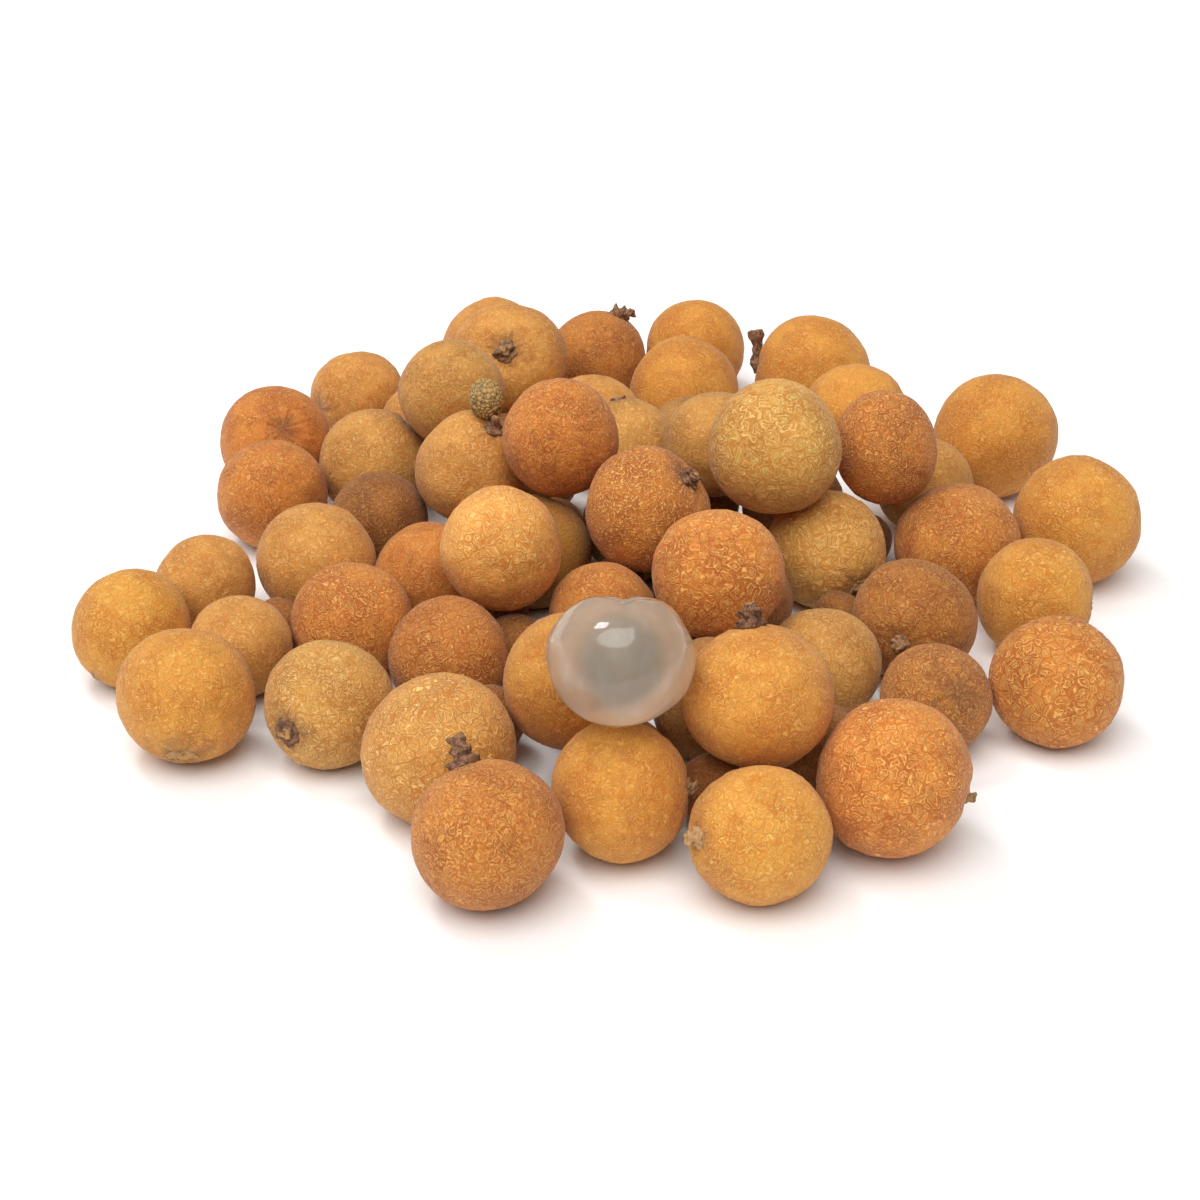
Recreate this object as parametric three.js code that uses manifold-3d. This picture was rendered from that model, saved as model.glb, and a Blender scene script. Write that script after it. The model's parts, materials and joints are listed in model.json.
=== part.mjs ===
// A bunch of longans: a loose heap of whole fruits in their thin leathery skins, and one
// peeled fruit that sits near the front with its dark seed inside the clear flesh.
// Millimetres, +Z up, X to the right, Y away from the front. The origin is at the middle of
// the heap's box, at the surface that it lies on.

import * as THREE from 'three';
import { mergeVertices } from 'three/addons/utils/BufferGeometryUtils.js';
import Module from 'manifold-3d';

const wasm = await Module();
wasm.setup();

// Clear space between two neighbouring fruits, and the depth of the flat spot that a fruit
// has where it lies on the surface.
const GAP = 0.35;
const FOOT_DEPTH = 0.4;

// How finely the round bodies are divided: each edge of an icosahedron is cut this often.
const SKIN_DETAIL = 2;
const FLESH_DETAIL = 4;
const SEED_DETAIL = 2;

// Soft lumps that take the skins away from a perfect oval: their depth as a share of the
// radius, and how tightly they follow each other, in radians over one radius.
const LUMP_SHARE = 0.03;
const LUMP_TURNS = 3.8;

// The stalk end: a shallow bowl in the skin, as radius and height pairs from its lowest
// point, and the woody stub that stands in it.
const BOWL_PROFILE = [[0, -0.7], [1.9, -0.55], [3.4, 0.6], [0, 0.6]];
const BOWL_SIDES = 8;
const STUB_SIDES = 6;
const STUB_ROOT = 1.6;
const STUB_SEAT = 0.42;

// Stub outlines as shares of the stub's radius and height, from the root to the tip.
const LOW_OUTLINE = [[0.9, 0.7], [0, 1]];
const TALL_OUTLINE = [[1.35, 0.12], [0.8, 0.4], [1, 0.75], [0.7, 0.95], [0, 1]];
const ROOT_SHARE = 0.8;

// Stub shapes: height above the skin, radius, outline, and whether they stand in a bowl.
const STUBS = {
  scar: { height: 0.5, radius: 1.1, outline: LOW_OUTLINE, bowl: false },
  button: { height: 0.3, radius: 1.2, outline: LOW_OUTLINE, bowl: true },
  peg: { height: 2.3, radius: 1.3, outline: TALL_OUTLINE, bowl: true },
  twig: { height: 4.8, radius: 1.5, outline: TALL_OUTLINE, bowl: false },
  branch: { height: 8.4, radius: 1.5, outline: TALL_OUTLINE, bowl: false },
};

// Stubs that don't stand straight up from the skin: the way that they point.
const STUB_WAYS = {
  longan_42: [0.95, 0.05, 0.3],
  longan_45: [-0.12, 0.42, 0.9],
};

// The undeveloped fruitlet that stayed on one stalk: its own sizes, the neck that holds it,
// and the way that both point.
const FRUITLET_ACROSS = 7.4;
const FRUITLET_TALL = 8.6;
const FRUITLET_NECK = 1.9;
const FRUITLET_NECK_RADIUS = 0.9;
const FRUITLET_SUNK = 1.2;
const FRUITLET_WAY = [-0.2, 0.5, 0.84];

// The peeled fruit: outer flesh, the cavity round the seed, and the mouth of the cavity,
// which starts inside the cavity and ends outside the flesh.
const FLESH_ACROSS = 25.6;
const FLESH_TALL = 23.8;
const FLESH_NOTCH_DEPTH = 2.2;
const FLESH_NOTCH_ANGLE = 0.34;
const SEED_ACROSS = 12.4;
const SEED_TALL = 11.6;
const SEED_CLEARANCE = 0.35;
const SEED_OFFSET = -0.6;
const MOUTH_RADIUS = 1.5;
const MOUTH_SIDES = 10;
const MOUTH_START = 1;
const MOUTH_END = 1;

// Settling: how fast the upper fruits come down, and how firmly each fruit keeps its place.
const SETTLE_STEPS = 1200;
const SETTLE_PASSES = 4;
const DROP = 0.05;
const HOLD_GROUND = 0.08;
const HOLD_UPPER = 0.06;

// A block that is wide enough to cut the foot of any fruit.
const CUTTER_WIDTH = 80;
const CUTTER_DEPTH = 5;

// Corners nearer than this are one corner.
const MERGE_DISTANCE = 1e-4;

const SKINS = {
  honey: 0xc98a3c,
  tan: 0xc79a5c,
  russet: 0xb06f35,
  olive: 0xa98752,
};
const SKIN_ROUGHNESS = 0.75;

// The fruits, front to back. Each has its place on the plan, the height from which it
// settles (0 for one that lies on the surface), its diameter across and along the stalk,
// the way its stalk points, its kind of stub, and its skin.
const FRUITS = [
  ['longan_01', -24, -102, 0, 26.8, 26.2, [-0.3, 0.55, 0.78], 'twig', 'russet'],
  ['longan_02', -1, -88, 0, 25.4, 24.6, [1, 0, 0.05], 'peg', 'honey'],
  ['longan_03', 23, -101, 0, 24.2, 25.4, [-0.9, -0.37, 0.21], 'peg', 'honey'],
  ['longan_04', 47, -87, 0, 29.0, 27.6, [0.95, -0.2, -0.15], 'peg', 'russet'],
  ['longan_05', -32, -76, 0, 28.4, 26.0, [0.2, 0.5, -0.84], 'scar', 'tan'],
  ['longan_06', -55, -59, 0, 24.4, 24.2, [-0.58, -0.82, -0.01], 'button', 'olive'],
  ['longan_07', -81, -55, 0, 26.0, 25.6, [0.03, -0.84, -0.54], 'button', 'honey'],
  ['longan_08', -96, -31, 0, 23.2, 24.0, [-0.6, -0.45, -0.66], 'scar', 'honey'],
  ['longan_09', -72, -36, 0, 20.4, 20.4, [0.1, 0.6, -0.8], 'scar', 'tan'],
  ['longan_10', 23, -77, 25, 27.4, 26.2, [-0.1, 0.5, 0.86], 'twig', 'honey'],
  ['longan_11', 59, -55, 0, 21.4, 21.0, [0.3, -0.72, 0.62], 'scar', 'russet'],
  ['longan_12', 81, -51, 0, 25.6, 23.2, [0.2, 0.6, -0.78], 'scar', 'russet'],
  ['longan_13', -34, -41, 0, 24.0, 21.8, [0.1, 0.7, -0.7], 'scar', 'russet'],
  ['longan_14', -57, -29, 0, 24.2, 22.0, [-0.2, 0.6, -0.77], 'scar', 'russet'],
  ['longan_15', -11.5, -66.5, 22, 25.6, 25.4, [-0.3, 0.6, -0.74], 'scar', 'honey'],
  ['longan_16', 38, -44, 0, 22.8, 22.4, [0.3, 0.7, -0.65], 'scar', 'olive'],
  ['longan_17', 18, -38, 30, 25.6, 25.0, [0.3, 0.8, -0.5], 'scar', 'russet'],
  ['longan_18', 42, 0, 0, 25.0, 25.2, [0.53, -0.79, -0.31], 'button', 'olive'],
  ['longan_19', 57, -29, 0, 25.0, 23.0, [-0.34, -0.93, 0.09], 'peg', 'russet'],
  ['longan_20', 82, -19, 0, 24.4, 23.4, [0.98, -0.1, -0.15], 'button', 'honey'],
  ['longan_21', 95, 10, 0, 27.6, 26.4, [0.4, 0.85, 0.1], 'peg', 'honey'],
  ['longan_22', 70, 2, 0, 26.4, 24.4, [0.2, 0.4, -0.89], 'scar', 'russet'],
  ['longan_23', 82, 48, 0, 28.0, 27.2, [0.3, 0.9, 0.2], 'twig', 'honey'],
  ['longan_24', 54, 11, 27, 21.4, 24.2, [0.1, -0.3, -0.95], 'scar', 'russet'],
  ['longan_25', 31, -1, 36, 27.2, 27.4, [0.2, 0.7, -0.65], 'scar', 'olive'],
  ['longan_26', 5, -8, 28, 25.6, 25.8, [0.7, -0.1, 0.7], 'peg', 'russet'],
  ['longan_27', -12, 7, 36, 24.2, 24.6, [0.1, 0.8, -0.55], 'scar', 'russet'],
  ['longan_28', -25, -20, 25, 23.8, 26.8, [0.1, 0.35, -0.93], 'scar', 'tan'],
  ['longan_29', -30.5, 17.5, 24, 23.4, 23.6, [0.4, -0.2, 0.89], 'fruitlet', 'tan'],
  ['longan_30', -55, 38, 0, 25.0, 24.8, [0.63, 0.35, 0.69], 'button', 'olive'],
  ['longan_31', -43.5, -7, 0, 22.0, 21.6, [0.5, 0.7, -0.5], 'scar', 'russet'],
  ['longan_32', -62, -7, 0, 24.6, 23.8, [-0.1, 0.6, -0.79], 'scar', 'tan'],
  ['longan_33', -74, 26, 0, 24.2, 24.0, [-0.4, 0.7, -0.6], 'scar', 'russet'],
  ['longan_34', -77, 50, 0, 25.2, 24.8, [0.24, -0.72, 0.65], 'scar', 'russet'],
  ['longan_35', -79, -9, 0, 20.6, 20.6, [-0.7, 0.5, -0.5], 'scar', 'tan'],
  ['longan_36', -5.8, 59.4, 0, 24.0, 23.6, [0.3, 0.3, -0.9], 'scar', 'tan'],
  ['longan_37', -61, 76, 0, 22.0, 22.4, [-0.8, -0.55, 0.0], 'button', 'tan'],
  ['longan_38', -36, 39, 31, 23.2, 23.0, [0.1, 0.8, -0.6], 'scar', 'olive'],
  ['longan_39', -43.5, 61.5, 0, 21.4, 21.4, [-0.3, 0.5, -0.8], 'scar', 'tan'],
  ['longan_40', -25, 72, 22, 27.0, 25.2, [-0.06, -0.8, 0.6], 'button', 'tan'],
  ['longan_41', -30, 98.5, 0, 25.6, 25.0, [-0.2, 0.95, 0.2], 'peg', 'tan'],
  ['longan_42', -5, 94, 0, 24.0, 24.4, [0.4, 0.27, 0.87], 'twig', 'russet'],
  ['longan_43', 18, 100, 0, 24.2, 23.8, [-0.2, 0.9, -0.3], 'scar', 'honey'],
  ['longan_44', 15, 75, 0, 25.8, 25.0, [0.3, 0.6, -0.74], 'scar', 'honey'],
  ['longan_45', 45, 81, 0, 28.6, 27.4, [-0.98, 0.1, 0.15], 'branch', 'honey'],
  ['longan_46', 51, 32, 28, 23.2, 22.4, [0.1, 0.8, -0.6], 'scar', 'honey'],
  ['longan_47', 3, 36, 24, 22.0, 23.0, [-0.2, 0.5, 0.85], 'peg', 'olive'],
  ['longan_48', 19, 20, 26, 22.6, 22.6, [0.4, 0.6, -0.7], 'scar', 'olive'],
  ['longan_49', 67, 34, 0, 21.4, 21.4, [0.3, 0.7, -0.6], 'scar', 'olive'],
  ['longan_50', -4, -25, 0, 22.0, 21.8, [0.2, 0.7, -0.7], 'scar', 'russet'],
  ['longan_51', -11, -45, 0, 20.4, 20.4, [0.4, 0.2, -0.9], 'scar', 'honey'],
  ['longan_52', 17, -58, 0, 24.0, 23.6, [-0.3, 0.3, -0.9], 'scar', 'tan'],
  ['longan_53', 21, -20, 0, 24.0, 23.6, [0.2, 0.5, -0.85], 'scar', 'russet'],
  ['longan_54', -20, 0, 0, 24.0, 23.6, [-0.4, 0.4, -0.8], 'scar', 'honey'],
  ['longan_55', 4, 13, 0, 24.0, 23.6, [0.5, 0.1, -0.85], 'scar', 'tan'],
  ['longan_56', 37, 23, 0, 22.0, 21.8, [0.1, -0.3, -0.95], 'scar', 'russet'],
  ['longan_57', -22, 35, 0, 24.0, 23.6, [-0.1, -0.4, -0.9], 'scar', 'honey'],
  ['longan_58', 14, 51, 0, 22.4, 22.0, [0.3, -0.2, -0.93], 'scar', 'tan'],
];

// The peeled fruit: its place on the plan, the height from which it settles, and the way
// its notch points.
const PEELED_PLACE = [-1, -84, 38];
const PEELED_NOTCH = [0.04, 0.42, 0.91];

const UP = new THREE.Vector3(0, 0, 1);
const DOWN = new THREE.Vector3(0, 0, -1);
const MIDDLE = new THREE.Vector3(0, 0, 0);

// A repeatable random number in 0 to 1 from a seed: the far decimals of a sine.
const CHANCE_STEP = 127.1;
const CHANCE_START = 311.7;
const CHANCE_SPREAD = 43758.5453;

function chance(seed) {
  const wave = Math.sin(seed * CHANCE_STEP + CHANCE_START) * CHANCE_SPREAD;
  return wave - Math.floor(wave);
}

// An oval body that settles: half its width across, half its length along its axis.
function ovalBody(name, place, across, tall, axis) {
  const [x, y, height] = place;
  const body = { name, ground: height === 0, across: across / 2, tall: tall / 2 };
  body.axis = new THREE.Vector3(...axis).normalize();
  body.home = new THREE.Vector3(x, y, height);
  body.centre = body.home.clone();
  body.floor = reach(body, DOWN) - FOOT_DEPTH;
  body.centre.z = Math.max(height, body.floor);
  return body;
}

// How far an oval body reaches from its centre towards a unit direction.
function reach(body, direction) {
  const along = body.axis.dot(direction);
  return Math.sqrt(body.across ** 2 * (1 - along ** 2) + body.tall ** 2 * along ** 2);
}

// Pushes two bodies apart along the line of their centres until the gap between them is
// clear. A body on the surface yields sideways only.
function partPair(first, second) {
  const line = second.centre.clone().sub(first.centre);
  const distance = line.length();
  line.divideScalar(distance);
  const missing = reach(first, line) + reach(second, line) + GAP - distance;
  if (missing <= 0) return;
  first.centre.addScaledVector(line, -missing / 2);
  second.centre.addScaledVector(line, missing / 2);
}

function partAll(bodies) {
  for (let i = 0; i < bodies.length; i += 1) {
    for (let j = i + 1; j < bodies.length; j += 1) partPair(bodies[i], bodies[j]);
  }
  for (const body of bodies) {
    const lifted = Math.max(body.centre.z, body.floor);
    body.centre.z = body.ground ? body.floor : lifted;
  }
}

// Lets the upper bodies come down on the lower ones, with each drawn back to its own place,
// until every gap is clear.
function settle(bodies) {
  for (let step = 0; step < SETTLE_STEPS; step += 1) {
    const calm = 1 - step / SETTLE_STEPS;
    for (const body of bodies) {
      const hold = (body.ground ? HOLD_GROUND : HOLD_UPPER) * calm;
      body.centre.x += (body.home.x - body.centre.x) * hold;
      body.centre.y += (body.home.y - body.centre.y) * hold;
      if (!body.ground) body.centre.z -= DROP * calm;
    }
    for (let pass = 0; pass < SETTLE_PASSES; pass += 1) partAll(bodies);
  }
}

// Moves all bodies so that the middle of the heap's plan is at the origin.
function centreHeap(bodies) {
  const low = new THREE.Vector3(Infinity, Infinity, 0);
  const high = new THREE.Vector3(-Infinity, -Infinity, 0);
  for (const body of bodies) {
    for (const side of ['x', 'y']) {
      const axis = new THREE.Vector3();
      axis[side] = 1;
      low[side] = Math.min(low[side], body.centre[side] - reach(body, axis));
      high[side] = Math.max(high[side], body.centre[side] + reach(body, axis));
    }
  }
  const middle = low.add(high).divideScalar(2);
  for (const body of bodies) body.centre.sub(middle);
}

// A closed geometry as a solid, with its shared vertices merged.
function toSolid(geometry) {
  const bare = geometry.clone();
  bare.deleteAttribute('normal');
  bare.deleteAttribute('uv');
  const merged = mergeVertices(bare, MERGE_DISTANCE);
  return new wasm.Manifold(new wasm.Mesh({
    numProp: 3,
    vertProperties: new Float32Array(merged.attributes.position.array),
    triVerts: new Uint32Array(merged.index.array),
  }));
}

function toGeometry(solid) {
  const mesh = solid.getMesh();
  const geometry = new THREE.BufferGeometry();
  geometry.setAttribute('position', new THREE.BufferAttribute(mesh.vertProperties, 3));
  geometry.setIndex(new THREE.BufferAttribute(mesh.triVerts, 1));
  geometry.computeVertexNormals();
  return geometry;
}

// A round geometry with one corner straight down, whose corners are set at the distance
// that radiusAt gives for their direction.
function roundGeometry(detail, radiusAt) {
  const geometry = new THREE.IcosahedronGeometry(1, detail);
  const corner = new THREE.Vector3().fromBufferAttribute(geometry.attributes.position, 0);
  geometry.applyQuaternion(new THREE.Quaternion().setFromUnitVectors(corner.normalize(), DOWN));
  const points = geometry.attributes.position;
  const direction = new THREE.Vector3();
  for (let i = 0; i < points.count; i += 1) {
    direction.fromBufferAttribute(points, i).normalize();
    const point = direction.clone().multiplyScalar(radiusAt(direction));
    points.setXYZ(i, point.x, point.y, point.z);
  }
  return geometry;
}

// The distance from the centre of an oval to its surface in a unit direction.
function ovalRadius(across, tall, axis, direction) {
  const along = axis.dot(direction);
  return 1 / Math.sqrt((1 - along ** 2) / across ** 2 + along ** 2 / tall ** 2);
}

// A turned profile of radius and height pairs that stands at a place and points along an
// axis.
function turnedPeg(profile, sides, axis, place) {
  const points = profile.map(([radius, height]) => new THREE.Vector2(radius, height));
  const geometry = new THREE.LatheGeometry(points, sides);
  geometry.rotateX(Math.PI / 2);
  geometry.applyQuaternion(new THREE.Quaternion().setFromUnitVectors(UP, axis));
  geometry.translate(place.x, place.y, place.z);
  return geometry;
}

// The shallow bowl that is cut round the stalk.
function bowlSolid(body) {
  return toSolid(turnedPeg(BOWL_PROFILE, BOWL_SIDES, body.axis, stalkPoint(body, 0)));
}

// The point on the stalk axis at a depth below the skin.
function stalkPoint(body, depth) {
  return body.axis.clone().multiplyScalar(body.tall - depth);
}

// The woody stub, from its root inside the fruit to its broken tip.
function stubSolid(body, shape) {
  const { height, radius, outline, bowl } = shape;
  const root = [[0, -STUB_ROOT], [radius * ROOT_SHARE, -STUB_ROOT]];
  const profile = [...root, ...outline.map(([across, up]) => [radius * across, height * up])];
  const way = new THREE.Vector3(...(STUB_WAYS[body.name] ?? body.axis.toArray())).normalize();
  return toSolid(turnedPeg(profile, STUB_SIDES, way, stalkPoint(body, bowl ? STUB_SEAT : 0)));
}

// A tiny undeveloped fruit on a short neck beside the stalk's stub.
function fruitletSolid(body) {
  const way = new THREE.Vector3(...FRUITLET_WAY).normalize();
  const foot = stalkPoint(body, STUB_SEAT);
  const neck = [
    [0, -STUB_ROOT],
    [FRUITLET_NECK_RADIUS, -STUB_ROOT],
    [FRUITLET_NECK_RADIUS, FRUITLET_NECK + FRUITLET_SUNK],
    [0, FRUITLET_NECK + FRUITLET_SUNK],
  ];
  const half = FRUITLET_TALL / 2;
  const ball = roundGeometry(1, (direction) => ovalRadius(FRUITLET_ACROSS / 2, half, way, direction));
  const middle = foot.clone().addScaledVector(way, FRUITLET_NECK + half);
  ball.translate(middle.x, middle.y, middle.z);
  return toSolid(turnedPeg(neck, STUB_SIDES, way, foot)).add(toSolid(ball));
}

// Cuts away what is below the surface, which leaves a flat foot.
function cutFoot(solid, body) {
  const block = new THREE.BoxGeometry(CUTTER_WIDTH, CUTTER_WIDTH, CUTTER_DEPTH);
  block.translate(0, 0, -body.centre.z - CUTTER_DEPTH / 2);
  return body.centre.z < body.floor + FOOT_DEPTH ? solid.subtract(toSolid(block)) : solid;
}

// A whole fruit: an oval skin with soft lumps that follow each other along a random way,
// its bowl and its stub.
function skinnedSolid(body, stub, seed) {
  const lumpWay = new THREE.Vector3(chance(seed), chance(seed + 0.3), chance(seed + 0.6));
  lumpWay.subScalar(0.5).normalize().multiplyScalar(LUMP_TURNS);
  const phase = chance(seed + 0.9) * Math.PI * 2;
  const radiusAt = (direction) => {
    const lump = (1 + Math.sin(lumpWay.dot(direction) + phase)) / 2;
    return ovalRadius(body.across, body.tall, body.axis, direction) * (1 - LUMP_SHARE * lump);
  };
  const skin = toSolid(roundGeometry(SKIN_DETAIL, radiusAt));
  const shape = STUBS[stub === 'fruitlet' ? 'button' : stub];
  const dished = shape.bowl ? skin.subtract(bowlSolid(body)) : skin;
  const stalked = dished.add(stubSolid(body, shape));
  return cutFoot(stub === 'fruitlet' ? stalked.add(fruitletSolid(body)) : stalked, body);
}

// The clear flesh: an oval with a heart-shaped notch round the stalk end, hollow round the
// seed, with a narrow mouth at the bottom of the notch.
function fleshSolid(body) {
  const radiusAt = (direction) => {
    const angle = body.axis.angleTo(direction);
    const notch = FLESH_NOTCH_DEPTH * Math.exp(-((angle / FLESH_NOTCH_ANGLE) ** 2));
    return ovalRadius(body.across, body.tall, body.axis, direction) - notch;
  };
  const cavity = roundGeometry(SEED_DETAIL, (direction) => ovalRadius(
    SEED_ACROSS / 2 + SEED_CLEARANCE,
    SEED_TALL / 2 + SEED_CLEARANCE,
    body.axis,
    direction,
  ));
  const shift = body.axis.clone().multiplyScalar(SEED_OFFSET);
  cavity.translate(shift.x, shift.y, shift.z);
  const top = body.tall + MOUTH_END;
  const mouth = turnedPeg(
    [[0, MOUTH_START], [MOUTH_RADIUS, MOUTH_START], [MOUTH_RADIUS, top], [0, top]],
    MOUTH_SIDES,
    body.axis,
    MIDDLE,
  );
  return toSolid(roundGeometry(FLESH_DETAIL, radiusAt)).subtract(toSolid(cavity)).subtract(toSolid(mouth));
}

// The round dark seed in the flesh.
function seedSolid(body) {
  const radiusAt = (direction) => ovalRadius(SEED_ACROSS / 2, SEED_TALL / 2, body.axis, direction);
  const seed = roundGeometry(SEED_DETAIL, radiusAt);
  const shift = body.axis.clone().multiplyScalar(SEED_OFFSET);
  seed.translate(shift.x, shift.y, shift.z);
  return toSolid(seed);
}

const heap = new THREE.Group();

function addPiece(name, solid, place, material) {
  const mesh = new THREE.Mesh(toGeometry(solid), material);
  mesh.name = name;
  mesh.position.copy(place);
  heap.add(mesh);
}

const skinMaterials = {};
for (const [skin, color] of Object.entries(SKINS)) {
  skinMaterials[skin] = new THREE.MeshStandardMaterial({ color, roughness: SKIN_ROUGHNESS, metalness: 0 });
}
const fleshMaterial = new THREE.MeshStandardMaterial({ color: 0xc9c2b4, roughness: 0.2, metalness: 0 });
const seedMaterial = new THREE.MeshStandardMaterial({ color: 0x1c1310, roughness: 0.25, metalness: 0 });

const whole = FRUITS.map(([name, x, y, height, across, tall, axis]) => (
  ovalBody(name, [x, y, height], across, tall, axis)
));
const peeled = ovalBody('peeled', PEELED_PLACE, FLESH_ACROSS, FLESH_TALL, PEELED_NOTCH);
settle([...whole, peeled]);
centreHeap([...whole, peeled]);

FRUITS.forEach(([name, , , , , , , stub, skin], index) => {
  const body = whole[index];
  addPiece(name, skinnedSolid(body, stub, index + 1), body.centre, skinMaterials[skin]);
});
addPiece('peeled_flesh', fleshSolid(peeled), peeled.centre, fleshMaterial);
addPiece('peeled_seed', seedSolid(peeled), peeled.centre, seedMaterial);

export default heap;
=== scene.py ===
"""A bunch of longans: a loose heap of whole fruits in netted, leathery peel, with one peeled
fruit near the front whose dark seed shows through the clear flesh.

Lengths are in metres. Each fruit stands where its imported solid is, and its stalk points the
same way.
"""

import json
import math

import bpy
import numpy as np
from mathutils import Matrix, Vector


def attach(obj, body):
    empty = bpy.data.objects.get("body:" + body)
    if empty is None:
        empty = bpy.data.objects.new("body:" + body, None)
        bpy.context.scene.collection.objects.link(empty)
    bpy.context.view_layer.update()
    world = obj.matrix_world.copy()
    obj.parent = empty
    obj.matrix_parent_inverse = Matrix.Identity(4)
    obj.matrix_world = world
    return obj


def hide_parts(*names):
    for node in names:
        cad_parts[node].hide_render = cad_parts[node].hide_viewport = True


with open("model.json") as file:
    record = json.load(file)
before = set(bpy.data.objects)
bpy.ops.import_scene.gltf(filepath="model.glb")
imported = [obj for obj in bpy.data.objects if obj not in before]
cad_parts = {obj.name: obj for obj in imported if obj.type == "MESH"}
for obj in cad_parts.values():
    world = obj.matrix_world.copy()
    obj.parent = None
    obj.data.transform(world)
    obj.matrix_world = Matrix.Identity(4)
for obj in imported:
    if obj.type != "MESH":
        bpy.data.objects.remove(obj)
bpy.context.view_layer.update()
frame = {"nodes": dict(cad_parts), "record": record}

MM = 0.001

# How finely a round surface is divided: rows from its first pole to its last, and columns
# round it. First the peels, by how well they show, then the undersized fruits, the
# undeveloped fruitlet and the seed.
NEAR = (78, 156)
MIDDLE = (50, 100)
HIDDEN = (26, 52)
HOLLOW = (14, 28)
FRUITLET = (72, 110)
SEED = (60, 96)

# The same for the flesh: columns, rows up its outside, and rows round the nest of the seed.
FLESH_COLUMNS = 176
FLESH_ROWS = 99
NEST_ROWS = 59

# Stalk ends where no wood is left.
BARE = ("scar",)
DIMPLE = ("dimple",)
PATCH = ("patch",)

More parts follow.
